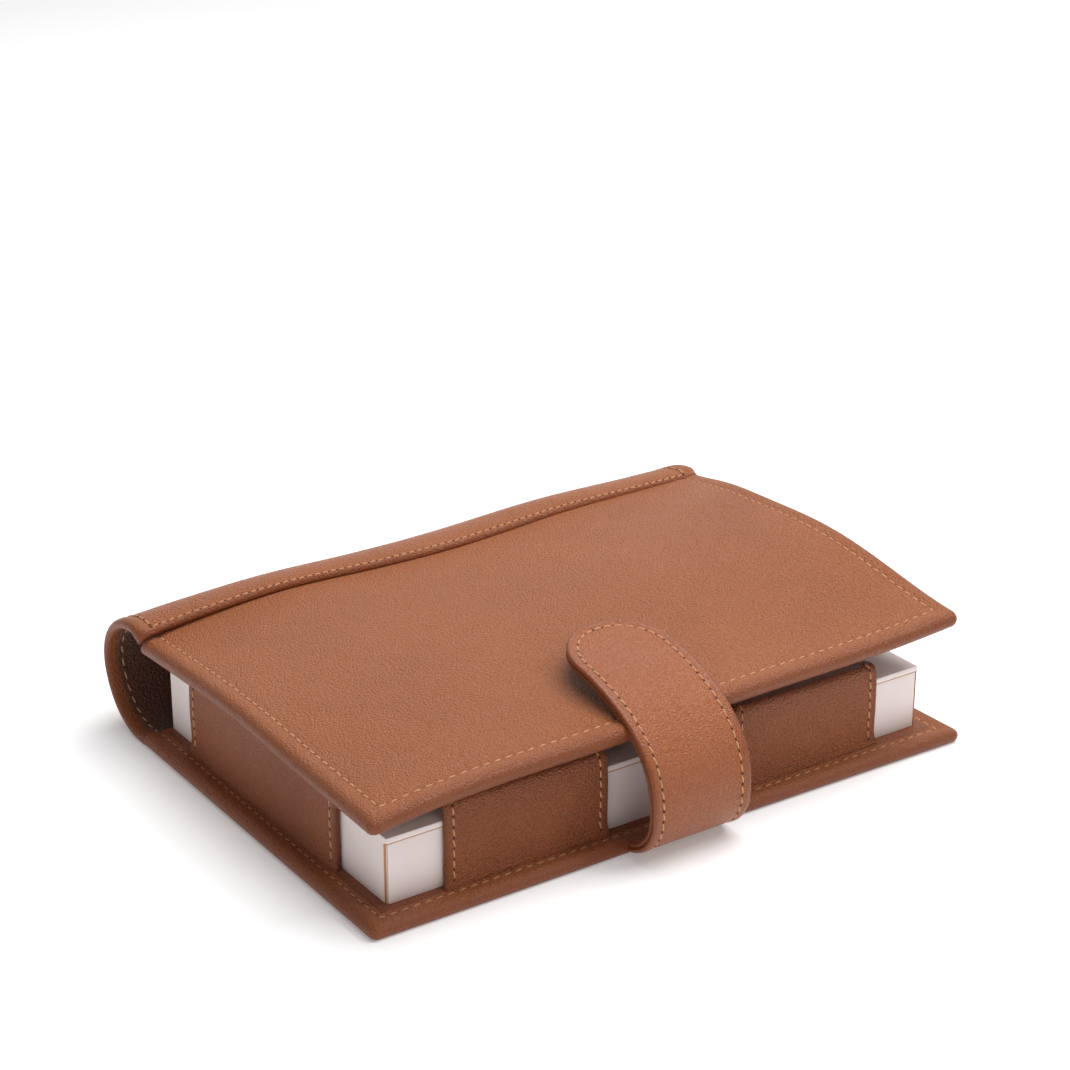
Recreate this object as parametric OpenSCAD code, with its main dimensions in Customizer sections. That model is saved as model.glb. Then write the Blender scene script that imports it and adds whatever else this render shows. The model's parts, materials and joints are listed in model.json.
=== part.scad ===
// Leather notebook cover, closed by a strap, holding a card block in leather bands.
// Axes: +X from the spine to the fore-edge, +Y along the spine, +Z up.
// Origin: centre of the back cover's underside, which rests on the table.

/* [Covers] */
// Length of both covers, along the spine
cover_len = 188; // [150:1:230]
// Width of the back cover, from its spine edge to its fore-edge
back_w = 126; // [110:1:150]
// Thickness of the outer leather
skin_t = 1.2; // [0.8:0.1:1.6]
// Thickness of the stiffening boards
board_t = 1.2; // [0.8:0.1:1.6]
// Thickness of the lining leather
lining_t = 1.2; // [0.8:0.1:1.4]
// Width of the turned leather edge around the boards
turn_w = 3; // [2:0.5:5]
// Radius of the back cover's corners
corner_r = 2.5; // [1:0.5:5]

/* [Spine] */
// Outside radius of the rounded spine
spine_r = 19.8; // [19:0.1:22]
// Distance from the back cover's spine edge to the centre of the spine's curve
spine_out = 4.2; // [3:0.1:6]
// Width of the spine leather's flat strip that overlaps the front panel
seam_w = 5.2; // [4:0.1:7]

/* [Front cover shape] */
// Height of the front panel's top face at its fore-edge
fore_top = 37.8; // [37:0.1:38]
// How far the front panel's near corner hangs below that
near_drop = 3.6; // [0:0.1:5]
// How far the far corner curls above that
far_curl = 2; // [0:0.1:4]
// Crown of the front panel at its near end
crown_near = 0.8; // [0:0.1:3]
// Crown of the front panel at its far end
crown_far = 8.6; // [4:0.1:9]

/* [Card block] */
// Length of the card block, along the spine
block_len = 173; // [140:1:180]
// Width of the card block
block_w = 115.5; // [100:0.5:116]
// Height of the card block
block_h = 17.5; // [12:0.5:19]
// Thickness of its folded card
card_t = 0.6; // [0.4:0.1:1]

/* [Bands] */
// Thickness of the retaining bands
band_t = 1.6; // [1:0.1:2]
// Length of the band on each short side
end_band_len = 83; // [50:1:100]
// Length of each of the two bands on the fore-edge
fore_band_len = 50; // [30:1:60]
// Clear distance between the two fore-edge bands
fore_band_gap = 41; // [34:1:60]
// Depth of the bands' lip over the card block
band_lip = 12; // [6:0.5:16]

/* [Strap] */
// Width of the strap and its tab
strap_w = 31; // [24:0.5:34]
// Offset of the strap from the middle of the cover
strap_y = -3; // [-6:0.5:6]
// Outside radius of the strap's lower bend
low_r = 10; // [9:0.1:11]
// Outside radius of the strap's upper bend
high_r = 22.4; // [22.2:0.1:24]
// Upward slope of the tab, in degrees
tab_tilt = 9; // [7:0.5:11]
// Length of the tab's straight part, to its tip
tab_len = 36; // [30:0.5:48]

/* [Hidden] */
$fn = 96;
eps = 0.05;
fold_gap = 0.4;
strap_layer = 1.275;
plate_t = skin_t + board_t + lining_t;
fore_x = back_w / 2;
spine_x = -back_w / 2 - spine_out;
front_x0 = spine_x + 1.7;
front_x1 = fore_x - 1.5;
seam_z = 2 * spine_r - skin_t - 1.2;
fold_low = 30;
fold_mid = 90;
fold_high = 150;
block_x1 = fore_x - 9.7;
block_z = plate_t + eps;
strap_t = 2 * strap_layer + eps;
low_c = [fore_x + 2.9, 12];
high_c = [low_c[0] + low_r - high_r, 20];
strap_fold_a = 40;
tab_fold_a = 48;
snap_along = 20;
snap_r = 5.5;
post_r = 2.4;

leather = [0.66, 0.42, 0.30];
dark_leather = [0.48, 0.30, 0.22];
board_grey = [0.55, 0.52, 0.48];
card_white = [0.90, 0.86, 0.84];
metal = [0.75, 0.70, 0.60];

// Runs a profile drawn in X and Z along Y, centred on y_mid.
module along_y(len, y_mid = 0)
  translate([0, y_mid, 0])
    rotate([90, 0, 0])
      linear_extrude(height = len, center = true)
        children();

// A flat sheet with rounded fore-edge corners; inset shrinks its outline.
module flat_sheet(z0, t, inset) {
  r = max(corner_r - inset, 0.5);
  x0 = -fore_x + inset;
  x1 = fore_x - inset;
  half = cover_len / 2 - inset;
  translate([0, 0, z0])
    linear_extrude(height = t)
      union() {
        translate([x0, -half]) square([x1 - x0 - r, 2 * half]);
        translate([x0, -half + r]) square([x1 - x0, 2 * (half - r)]);
        for (s = [-1, 1])
          translate([x1 - r, s * (half - r)]) circle(r);
      }
}

module back_outer_skin()
  color(leather)
    difference() {
      flat_sheet(0, plate_t, 0);
      flat_sheet(skin_t, plate_t, turn_w);
    }

module back_board()
  color(board_grey)
    flat_sheet(skin_t + eps, board_t - eps, turn_w + eps);

module back_lining()
  color(dark_leather)
    flat_sheet(skin_t + board_t + eps, lining_t - eps, turn_w + eps);

// A slice of the round spine between two angles, measured from straight down
// towards the outside of the spine.
module spine_slice(depth, t, a0, a1) {
  r = spine_r - depth;
  g0 = a0 == 0 ? 0 : asin(fold_gap / 2 / r);
  g1 = a1 == 180 ? 0 : asin(fold_gap / 2 / r);
  reach = 3 * spine_r;
  steps = 6;
  translate([spine_x, spine_r])
    intersection() {
      difference() {
        circle(r);
        circle(r - t);
      }
      polygon(concat([[0, 0]], [
        for (i = [0:steps])
          let (a = a0 + g0 + (a1 - g1 - a0 - g0) * i / steps)
            [-reach * sin(a), -reach * cos(a)]
      ]));
    }
}

module spine_root(depth, t)
  along_y(cover_len)
    union() {
      spine_slice(depth, t, 0, fold_low);
      translate([spine_x - eps, depth]) square([spine_out, t]);
    }

module spine_outer(a0, a1)
  color(leather)
    along_y(cover_len)
      spine_slice(0, skin_t, a0, a1);

module spine_inner(a0, a1)
  color(dark_leather)
    along_y(cover_len)
      spine_slice(skin_t + eps, lining_t, a0, a1);

module spine_root_outer()
  color(leather)
    spine_root(0, skin_t);

module spine_root_lining()
  color(dark_leather)
    spine_root(skin_t + eps, lining_t);

module spine_lower_outer() spine_outer(fold_low, fold_mid);

module spine_lower_lining() spine_inner(fold_low, fold_mid);

module spine_upper_outer() spine_outer(fold_mid, fold_high);

module spine_upper_lining() spine_inner(fold_mid, fold_high);

module spine_seam_outer()
  color(leather)
    along_y(cover_len)
      union() {
        spine_slice(0, skin_t, fold_high, 180);
        translate([spine_x - eps, 2 * spine_r - skin_t]) square([seam_w, skin_t]);
      }

module spine_seam_lining()
  color(dark_leather)
    along_y(cover_len)
      spine_slice(skin_t + eps, lining_t, fold_high, 180);

// Height of the front panel's top face. u runs from the seam to the
// fore-edge and v from the near end to the far end, both from 0 to 1.
function crown_at(v) = crown_near + (crown_far - crown_near) * pow(v, 1.3);
function fore_at(v) =
  fore_top
  - near_drop * pow(max(0, 1 - v / 0.33), 2)
  + far_curl * pow(max(0, (v - 0.75) / 0.25), 2);
function panel_z(u, v) =
  (1 - u) * seam_z + u * fore_at(v) + crown_at(v) * pow(sin(180 * u), 1.5);

function panel_point(x, y, depth) = [
  x, y,
  panel_z((x - front_x0) / (front_x1 - front_x0), y / cover_len + 0.5) - depth
];

// One layer of the front panel: a closed sheet between two depths.
module panel_layer(d0, d1, inset) {
  nu = 20;
  nv = 14;
  row = nu + 1;
  side = row * (nv + 1);
  x0 = front_x0 + inset;
  x1 = front_x1 - inset;
  half = cover_len / 2 - inset;
  pts = [
    for (d = [d0, d1]) for (j = [0:nv]) for (i = [0:nu])
      panel_point(x0 + (x1 - x0) * i / nu, -half + 2 * half * j / nv, d)
  ];
  quads = [
    for (j = [0:nv - 1]) for (i = [0:nu - 1])
      let (p = j * row + i)
        [p, p + row, p + row + 1, p + 1]
  ];
  up = [for (q = quads) each [[q[0], q[1], q[2]], [q[0], q[2], q[3]]]];
  down = [for (f = up) [f[2] + side, f[1] + side, f[0] + side]];
  near = [for (i = [0:nu - 1]) [i, i + 1, i + 1 + side, i + side]];
  far = [
    for (i = [0:nu - 1])
      let (p = nv * row + i)
        [p + 1, p, p + side, p + 1 + side]
  ];
  spine_side = [
    for (j = [0:nv - 1])
      let (p = j * row)
        [p + row, p, p + side, p + row + side]
  ];
  fore_side = [
    for (j = [0:nv - 1])
      let (p = j * row + nu)
        [p, p + row, p + row + side, p + side]
  ];
  rim = [
    for (f = concat(near, far, spine_side, fore_side))
      each [[f[0], f[1], f[2]], [f[0], f[2], f[3]]]
  ];
  polyhedron(points = pts, faces = concat(up, down, rim));
}

module front_outer_skin()
  color(leather)
    difference() {
      panel_layer(0, plate_t, 0);
      panel_layer(skin_t, plate_t + 1, turn_w);
    }

module front_board()
  color(board_grey)
    panel_layer(skin_t + eps, skin_t + board_t, turn_w + eps);

module front_lining()
  color(dark_leather)
    panel_layer(skin_t + board_t + eps, plate_t, turn_w + eps);

module card_body()
  color(card_white)
    translate([block_x1 - block_w, -block_len / 2, block_z])
      cube([block_w, block_len, block_h - card_t - eps]);

module card_lid()
  color(card_white)
    translate([block_x1 - block_w, -block_len / 2, block_z + block_h - card_t])
      cube([block_w, block_len, card_t]);

// A leather band seen from its end: an upright with a lip over the block.
module band_profile() {
  wall_h = block_h + 2 * eps + band_t;
  square([band_t, wall_h]);
  translate([-band_lip, block_h + 2 * eps]) square([band_lip + eps, band_t]);
}

module band_near()
  color(dark_leather)
    translate([block_x1 - block_w / 2 - 5, -block_len / 2 - eps, block_z - eps])
      rotate([0, 0, -90])
        along_y(end_band_len) band_profile();

module band_far()
  mirror([0, 1, 0]) band_near();

module fore_band(y_mid)
  color(dark_leather)
    translate([block_x1 + eps, 0, block_z - eps])
      along_y(fore_band_len, y_mid) band_profile();

module band_fore_near() fore_band(-(fore_band_gap + fore_band_len) / 2);

module band_fore_far() fore_band((fore_band_gap + fore_band_len) / 2);

// A slice of a strap bend; angles run anticlockwise from +X in the XZ plane.
module bend_slice(centre, r, t, a0, a1) {
  steps = 6;
  reach = 2 * r;
  translate(centre)
    intersection() {
      difference() {
        circle(r);
        circle(r - t);
      }
      polygon(concat([[0, 0]], [
        for (i = [0:steps])
          let (a = a0 + (a1 - a0) * i / steps)
            [reach * cos(a), reach * sin(a)]
      ]));
    }
}

// The strap from its lower fold to its upper fold, one layer.
module strap_layer_profile(depth) {
  low_gap = fold_gap / low_r * 28.65;
  high_gap = fold_gap / high_r * 28.65;
  t = strap_layer;
  bend_slice(low_c, low_r - depth, t, strap_fold_a - 90 + low_gap, 0);
  translate([low_c[0] + low_r - depth - t, low_c[1] - eps])
    square([t, high_c[1] - low_c[1] + 2 * eps]);
  bend_slice(high_c, high_r - depth, t, 0, tab_fold_a - high_gap);
}

module strap_anchor()
  color(leather)
    along_y(strap_w, strap_y)
      union() {
        low_gap = fold_gap / low_r * 28.65;
        bend_slice(low_c, low_r, strap_t, -90, strap_fold_a - 90 - low_gap);
        anchor_w = low_c[0] - fore_x - eps;
        translate([fore_x + eps, low_c[1] - low_r]) square([anchor_w + eps, strap_t]);
      }

module strap_outer()
  color(leather)
    along_y(strap_w, strap_y)
      strap_layer_profile(0);

module strap_lining()
  color(dark_leather)
    along_y(strap_w, strap_y)
      strap_layer_profile(strap_layer + eps);

// Places a child at the end of the upper bend, with X down the tab.
module at_tab()
  translate([high_c[0], strap_y, high_c[1]])
    rotate([0, tab_tilt, 0])
      children();

// The tab's outline seen square to its flat part, with its half-round tip.
module tab_outline() {
  r = strap_w / 2;
  linear_extrude(height = 2 * high_r)
    union() {
      translate([-tab_len + r, -r]) square([tab_len - r + high_r, strap_w]);
      translate([-tab_len + r, 0]) circle(r);
    }
}

module tab_layer(depth) {
  high_gap = fold_gap / high_r * 28.65;
  intersection() {
    along_y(strap_w + 2, strap_y)
      union() {
        bend_slice(high_c, high_r - depth, strap_layer, tab_fold_a + high_gap, 90 - tab_tilt);
        translate(high_c)
          rotate(-tab_tilt)
            translate([-tab_len - 1, high_r - depth - strap_layer])
              square([tab_len + 1 + eps, strap_layer]);
      }
    at_tab() tab_outline();
  }
}

module tab_outer()
  color(leather)
    tab_layer(0);

module tab_lining()
  color(dark_leather)
    tab_layer(strap_layer + eps);

// Snap parts stand square to the tab, snap_along from its bend.
module at_snap()
  at_tab() translate([-snap_along, 0, high_r - strap_t]) children();

module snap_socket()
  color(metal)
    at_snap()
      difference() {
        translate([0, 0, -1.5]) cylinder(r = snap_r - 0.5, h = 1.45);
        translate([0, 0, -2]) cylinder(r = post_r + 0.4, h = 3);
      }

module snap_stud()
  color(metal)
    at_snap()
      union() {
        translate([0, 0, -2.45]) cylinder(r = snap_r, h = 0.5);
        translate([0, 0, -2]) cylinder(r = post_r, h = 1.6);
      }

back_outer_skin();
back_board();
back_lining();
spine_root_outer();
spine_root_lining();
spine_lower_outer();
spine_lower_lining();
spine_upper_outer();
spine_upper_lining();
spine_seam_outer();
spine_seam_lining();
front_outer_skin();
front_board();
front_lining();
card_body();
card_lid();
band_near();
band_far();
band_fore_near();
band_fore_far();
strap_anchor();
strap_outer();
strap_lining();
tab_outer();
tab_lining();
snap_stud();
snap_socket();
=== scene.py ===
import json
import math

import bmesh
import bpy
import numpy as np
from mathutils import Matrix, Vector
from mathutils.bvhtree import BVHTree


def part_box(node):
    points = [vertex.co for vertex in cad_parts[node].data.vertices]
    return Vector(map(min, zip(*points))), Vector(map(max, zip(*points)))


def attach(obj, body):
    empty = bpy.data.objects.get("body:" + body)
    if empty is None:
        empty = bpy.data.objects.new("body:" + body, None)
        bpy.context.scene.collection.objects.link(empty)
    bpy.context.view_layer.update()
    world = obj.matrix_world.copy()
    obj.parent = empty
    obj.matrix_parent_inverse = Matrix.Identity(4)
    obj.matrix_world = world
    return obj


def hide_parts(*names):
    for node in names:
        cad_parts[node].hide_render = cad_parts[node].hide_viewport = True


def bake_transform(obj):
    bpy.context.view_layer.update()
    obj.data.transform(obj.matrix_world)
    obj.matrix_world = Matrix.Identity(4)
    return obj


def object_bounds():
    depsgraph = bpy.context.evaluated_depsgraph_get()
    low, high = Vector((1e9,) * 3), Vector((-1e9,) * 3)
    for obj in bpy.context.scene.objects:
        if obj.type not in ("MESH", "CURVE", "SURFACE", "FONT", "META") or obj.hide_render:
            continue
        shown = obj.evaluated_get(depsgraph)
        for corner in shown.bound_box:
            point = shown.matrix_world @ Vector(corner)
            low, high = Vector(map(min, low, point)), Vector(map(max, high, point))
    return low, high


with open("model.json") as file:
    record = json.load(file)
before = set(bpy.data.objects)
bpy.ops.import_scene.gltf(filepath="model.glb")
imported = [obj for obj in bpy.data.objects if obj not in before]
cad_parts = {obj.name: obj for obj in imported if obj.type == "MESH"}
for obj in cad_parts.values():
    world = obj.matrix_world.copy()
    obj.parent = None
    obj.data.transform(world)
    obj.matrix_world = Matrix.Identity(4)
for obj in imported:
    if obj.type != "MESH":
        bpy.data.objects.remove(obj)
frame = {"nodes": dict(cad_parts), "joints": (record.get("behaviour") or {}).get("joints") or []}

# Lengths in this file are in millimetres, in the frame's axes; MM turns them into metres.
MM = 0.001
cad_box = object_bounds()
rng = np.random.default_rng(7)


# ---------------------------------------------------------------- the frame

def node_box(name):
    """A CAD node's lowest and highest corners in millimetres."""
    low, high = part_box(name)
    return np.array(low) / MM, np.array(high) / MM


def hinge_at(name):
    """Where a joint's axis crosses the XZ plane, in millimetres."""
    joint = next(j for j in frame["joints"] if j["name"] == name)
    return np.array([joint["pos_m"][0], joint["pos_m"][2]]) / MM


back_lo, back_hi = node_box("back_outer_skin")
front_lo, front_hi = node_box("front_outer_skin")
card_lo, card_hi = node_box("card_body")
lid_hi = node_box("card_lid")[1]
strap_lo, strap_hi = node_box("strap_outer")
tab_lo, tab_hi = node_box("tab_outer")

COVER_T = back_hi[2] - back_lo[2]
HALF_LEN = back_hi[1]
FORE_X = back_hi[0]
SPINE_EDGE_X = back_lo[0]
FOLD_MID = hinge_at("spine_upper_fold")
SPINE_R = FOLD_MID[1]
SPINE_C = np.array([FOLD_MID[0] + SPINE_R, SPINE_R])

# Stitch lengths, and how far each row of stitches lies in from its edge.
STITCH_PITCH = 3.35
STRAP_STITCH_PITCH = 3.0
BAND_STITCH_PITCH = 2.9
SEAM_STITCH_PITCH = 2.6
COVER_STITCH_IN = 5.4
BACK_STITCH_IN = 4.7
SPINE_STITCH_IN = 4.6
STRAP_STITCH_IN = 3.0
BAND_STITCH_IN = 2.6


# ------------------------------------------------------------- mesh helpers

def smooth_curve(points, step=0.5):
    """Points along a Catmull-Rom curve through the given ones, step apart."""
    p = np.asarray(points, float)
    ends = [2 * p[0] - p[1], *p, 2 * p[-1] - p[-2]]
    dense = []
    for a, b, c, d in zip(ends, ends[1:], ends[2:], ends[3:]):
        for t in np.linspace(0, 1, 24, endpoint=False):
            dense.append(0.5 * (2 * b + (c - a) * t + (2 * a - 5 * b + 4 * c - d) * t * t
                                + (3 * b - a - 3 * c + d) * t ** 3))
    dense.append(p[-1])
    return resample(np.array(dense), step)


def length_along(points):
    """The length of a line up to each of its points."""
    gaps = np.linalg.norm(np.diff(points, axis=0), axis=1)
    return np.concatenate([[0], np.cumsum(gaps)])


def resample(points, step):
    """The same line with its points spaced evenly, about step apart."""
    along = length_along(points)
    count = max(2, int(round(along[-1] / step)) + 1)
    at = np.linspace(0, along[-1], count)
    return np.stack([np.interp(at, along, points[:, k]) for k in range(points.shape[1])], 1)


def arc(centre, radius, a0, a1, count=24):
    """Points of an arc in the XZ plane, between two angles in degrees from +X."""
    a = np.radians(np.linspace(a0, a1, count))
    return np.stack([centre[0] + radius * np.cos(a), centre[1] + radius * np.sin(a)], 1)


def normals_of(path, side):
    """Unit normals of a curve in the XZ plane; side is 1 for the left of its direction."""
    d = np.gradient(path, axis=0)
    n = np.stack([-d[:, 1], d[:, 0]], 1) * side
    return n / np.linalg.norm(n, axis=1)[:, None]


def rounded(r, from_end, least):
    """Half a sheet's thickness at a distance from its round end."""
    past = max(0.0, r - from_end)
    return max(math.sqrt(max(r * r - past * past, 0.0)), least)


def bump(d, centre, width):
    """A smooth hump of height 1 at a distance."""
    return np.exp(-((d - centre) / width) ** 2)


def finish_mesh(name, verts, faces, materials, rim=None, face_material=None, sharp=math.radians(50)):
    """Makes a closed, smooth-shaded mesh object from points in millimetres."""
    mesh = bpy.data.meshes.new(name)
    mesh.from_pydata([tuple(v) for v in np.asarray(verts) * MM], [], faces)
    attribute = mesh.attributes.new("rest_mm", "FLOAT_VECTOR", "POINT")
    attribute.data.foreach_set("vector", np.asarray(verts, np.float32).ravel())
    edge = mesh.attributes.new("rim", "FLOAT", "POINT")
    values = np.zeros(len(verts)) if rim is None else np.asarray(rim)
    edge.data.foreach_set("value", values.astype(np.float32))
    for m in materials:
        mesh.materials.append(m)
    if face_material is not None:
        mesh.polygons.foreach_set("material_index", np.asarray(face_material, np.int32))
    bm = bmesh.new()
    bm.from_mesh(mesh)
    bmesh.ops.remove_doubles(bm, verts=bm.verts, dist=1e-6)
    bmesh.ops.recalc_face_normals(bm, faces=bm.faces)
    bm.to_mesh(mesh)
    bm.free()
    mesh.polygons.foreach_set("use_smooth", [True] * len(mesh.polygons))
    mesh.set_sharp_from_angle(angle=sharp)
    obj = bpy.data.objects.new(name, mesh)
    bpy.context.scene.collection.objects.link(obj)
    return obj


def loft(name, rings, materials, rim=None):
    """Skins closed rings of points, one after another, and caps both ends."""
    rings = np.asarray(rings, float)
    n, m = rings.shape[:2]
    verts = rings.reshape(-1, 3)
    faces = []
    for i in range(n - 1):
        a, b = i * m, (i + 1) * m
        for k in range(m):
            k2 = (k + 1) % m
            faces.append((a + k, a + k2, b + k2, b + k))
    half = m // 2
    for base in (0, (n - 1) * m):
        for k in range(half - 1):
            faces.append((base + k, base + k + 1, base + m - 2 - k, base + m - 1 - k))
    return finish_mesh(name, verts, faces, materials, rim)


def sheet_ring(half_w, half_t, across, round_n=5):
    """(a, b) places round a sheet's section: its top from -a to +a, an edge, its underside, an edge.

    The list pairs point k with point -1 - k, so that end caps are clean strips.
    """
    r = half_t
    flat = max(half_w - r, 1e-4)
    a = np.linspace(-flat, flat, across)
    th = np.radians(np.linspace(90, 0, round_n + 1))[1:]
    edge_a = flat + r * np.cos(th)
    edge_b = r * np.sin(th)
    top = np.stack([
        np.concatenate([-edge_a[::-1], a, edge_a]),
        np.concatenate([edge_b[::-1], np.full(across, r), edge_b]),
    ], 1)
    bottom = top[1:-1][::-1] * [1, -1]
    # the two outermost points are shared by top and underside
    return np.concatenate([top, bottom])


# ---------------------------------------------------------------- materials

class Nodes:
    """A short way to write a node tree: most methods add one node and return its output."""

    def __init__(self, name):
        self.material = bpy.data.materials.new(name)
        self.material.use_nodes = True
        self.tree = self.material.node_tree
        self.tree.nodes.clear()

    def add(self, kind, inputs=None, **settings):
        """Adds a node; an input is a value or another node's output."""
        node = self.tree.nodes.new(kind)
        for key, value in settings.items():
            setattr(node, key, value)
        for key, value in (inputs or {}).items():
            if isinstance(value, bpy.types.NodeSocket):
                self.tree.links.new(value, node.inputs[key])
            else:
                node.inputs[key].default_value = value
        return node

    def rest(self):
        """Each point's place at rest in millimetres, which bending doesn't change."""
        return self.add("ShaderNodeAttribute", attribute_name="rest_mm").outputs["Vector"]

    def rim(self):
        """How near each point is to a worn edge, 0 to 1, raised along a cover's stitch groove as painted
        shade.
        """
        return self.add("ShaderNodeAttribute", attribute_name="rim").outputs["Fac"]

    def noise(self, vector, scale, detail=3.0, rough=0.55, distort=0.0):
        return self.add("ShaderNodeTexNoise", {
            "Vector": vector, "Scale": scale, "Detail": detail,
            "Roughness": rough, "Distortion": distort}).outputs["Fac"]

    def cells(self, vector, scale):
        return self.add("ShaderNodeTexVoronoi", {"Vector": vector, "Scale": scale}).outputs["Distance"]

    def map(self, value, low, high, to_low=0.0, to_high=1.0):
        """Maps one range of values to another, and clamps it."""
        return self.add("ShaderNodeMapRange", {
            "Value": value, "From Min": low, "From Max": high,
            "To Min": to_low, "To Max": to_high}).outputs["Result"]

    def math(self, operation, a, b=0.0):
        return self.add("ShaderNodeMath", {0: a, 1: b}, operation=operation).outputs[0]

    def mix(self, factor, a, b):
        return self.add("ShaderNodeMix", {0: factor, 6: a, 7: b}, data_type="RGBA").outputs[2]

    def stretch(self, vector, scale):
        """Multiplies a place by a factor along each axis."""
        return self.add("ShaderNodeVectorMath", {0: vector, 1: scale},
                        operation="MULTIPLY").outputs[0]

    def bump(self, height, strength, distance):
        """A bumped normal; the distance is in millimetres."""
        return self.add("ShaderNodeBump", {
            "Height": height, "Strength": strength, "Distance": distance * MM}).outputs["Normal"]

    def shader(self, inputs):
        """Ends the material with a Principled shader."""
        node = self.add("ShaderNodeBsdfPrincipled", inputs)
        out = self.add("ShaderNodeOutputMaterial")
        self.tree.links.new(node.outputs["BSDF"], out.inputs["Surface"])
        return self.material


def srgb(r, g, b):
    """A linear colour from an 8-bit sRGB one."""
    def one(c):
        c /= 255
        return c / 12.92 if c <= 0.04045 else ((c + 0.055) / 1.055) ** 2.4
    return (one(r), one(g), one(b), 1.0)


def leather(name, face, deep, rim_colour, grain=1.0, sheen=0.03, rough=(0.34, 0.48), depth=0.48):
    """Smooth-finished cowhide: fine pebbles, faint wrinkles, uneven dye, darker worn edges, and painted shade
    along the covers' stitch grooves.
    """
    n = Nodes(name)
    at = n.rest()
    drift = n.add("ShaderNodeTexNoise", {"Vector": at, "Scale": 0.8, "Detail": 2.0}).outputs["Color"]
    drift = n.add("ShaderNodeVectorMath", {0: drift, 3: 0.7}, operation="SCALE").outputs[0]
    warped = n.add("ShaderNodeVectorMath", {0: at, 1: drift}, operation="ADD").outputs[0]
    pebble = n.cells(warped, 1.75 * grain)
    fine = n.noise(at, 3.2 * grain, 3.0, 0.6)
    wrinkle = n.noise(n.stretch(at, (0.35, 0.8, 0.5)), 0.55, 4.0, 0.6, 0.6)
    cloud = n.noise(at, 0.022, 3.0, 0.6)
    mottle = n.noise(at, 0.16, 3.0, 0.6)

    colour = n.mix(n.map(cloud, 0.3, 0.7), face, deep)
    colour = n.mix(n.map(mottle, 0.35, 0.75, 0.0, 0.35), colour, deep)
    colour = n.mix(n.map(pebble, 0.25, 0.75, 0.0, 0.34), colour, rim_colour)
    colour = n.mix(n.map(fine, 0.52, 0.8, 0.0, 0.16), colour, srgb(222, 166, 120))
    # Darker towards worn edges, and painted shade along the covers' stitch grooves.
    colour = n.mix(n.math("MULTIPLY", n.rim(), 0.75), colour, rim_colour)

    height = n.math("MULTIPLY", pebble, -1.0)
    height = n.math("ADD", height, n.math("MULTIPLY", fine, 0.5))
    height = n.math("ADD", height, n.math("MULTIPLY", wrinkle, 0.16))
    height = n.math("MULTIPLY", height, n.map(n.rim(), 0.0, 1.0, 1.0, 0.4))
    normal = n.bump(height, 1.0, depth)
    roughness = n.map(n.math("ADD", mottle, n.math("MULTIPLY", fine, 0.5)), 0.4, 1.1, rough[0], rough[1])
    return n.shader({
        "Base Color": colour, "Roughness": roughness, "Normal": normal,
        "Specular IOR Level": 0.40, "Sheen Weight": sheen, "Sheen Roughness": 0.45,
    })


def thread_material():
    """Waxed thread: pale tan, with a fine twist."""
    n = Nodes("thread")
    twist = n.noise(n.rest(), 6.0, 2.0)
    colour = n.mix(n.map(twist, 0.35, 0.65), srgb(212, 160, 116), srgb(176, 121, 80))
    return n.shader({"Base Color": colour, "Roughness": 0.62, "Normal": n.bump(twist, 0.4, 0.05),
                     "Sheen Weight": 0.2, "Sheen Roughness": 0.5})


def needle_hole_shade_material():
    """Painted shade for a needle hole: a flat dark brown on the small disc that stands where the hole's
    shadow falls.
    """
    n = Nodes("needle_hole_painted_shade")
    shade = n.noise(n.rest(), 2.0, 2.0)
    colour = n.mix(shade, srgb(58, 29, 16), srgb(80, 42, 24))
    return n.shader({"Base Color": colour, "Roughness": 0.9})


def card_material(name, face, shade):
    """Coated folding boxboard with a faint fibre."""
    n = Nodes(name)
    at = n.rest()
    fibre = n.noise(n.stretch(at, (1.0, 0.4, 2.0)), 1.8, 4.0, 0.7)
    cloud = n.noise(at, 0.03, 2.0)
    colour = n.mix(n.map(cloud, 0.3, 0.7), face, shade)
    colour = n.mix(n.map(fibre, 0.45, 0.8, 0.0, 0.25), colour, shade)
    return n.shader({"Base Color": colour, "Roughness": n.map(fibre, 0.3, 0.7, 0.42, 0.6),
                     "Normal": n.bump(fibre, 0.25, 0.04)})


def metal_material():
    """The brass of a press stud, brushed a little by use."""
    n = Nodes("snap_metal")
    at = n.add("ShaderNodeTexCoord").outputs["Object"]
    scratch = n.noise(n.stretch(at, (400.0, 2200.0, 400.0)), 1.0, 3.0, 0.7)
    colour = n.mix(scratch, srgb(196, 170, 120), srgb(224, 204, 160))
    return n.shader({"Base Color": colour, "Metallic": 1.0,
                     "Roughness": n.map(scratch, 0.2, 0.8, 0.2, 0.42)})


LEATHER = leather("leather", srgb(170, 99, 54), srgb(160, 91, 48), srgb(114, 54, 21))
# The covers' leather a little darker: painted shade for the bands under the front cover and for the back
# cover's lining.
SHADED_BAND_LEATHER = leather("band_leather", srgb(162, 91, 51), srgb(146, 78, 42), srgb(102, 48, 19))
# A darker lining leather: partly its own tone, partly painted shade for the shaded inside of the spine.
LINING_WITH_PAINTED_SHADE = leather("lining_leather_with_painted_shade", srgb(104, 62, 42), srgb(84, 48, 33), srgb(70, 37, 24), 0.8,
                 sheen=0.12, rough=(0.5, 0.66))
THREAD = thread_material()
STRAP_LEATHER = leather("strap_leather", srgb(166, 93, 48), srgb(156, 84, 42), srgb(114, 53, 20), 1.2,
                        rough=(0.24, 0.30), depth=0.24)
NEEDLE_HOLE_SHADE = needle_hole_shade_material()
CARD = card_material("card_white", srgb(241, 229, 226), srgb(232, 218, 214))
KRAFT = card_material("card_kraft_edge", srgb(198, 146, 98), srgb(170, 118, 72))
METAL = metal_material()


# ------------------------------------------------------------------ threads

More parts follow.
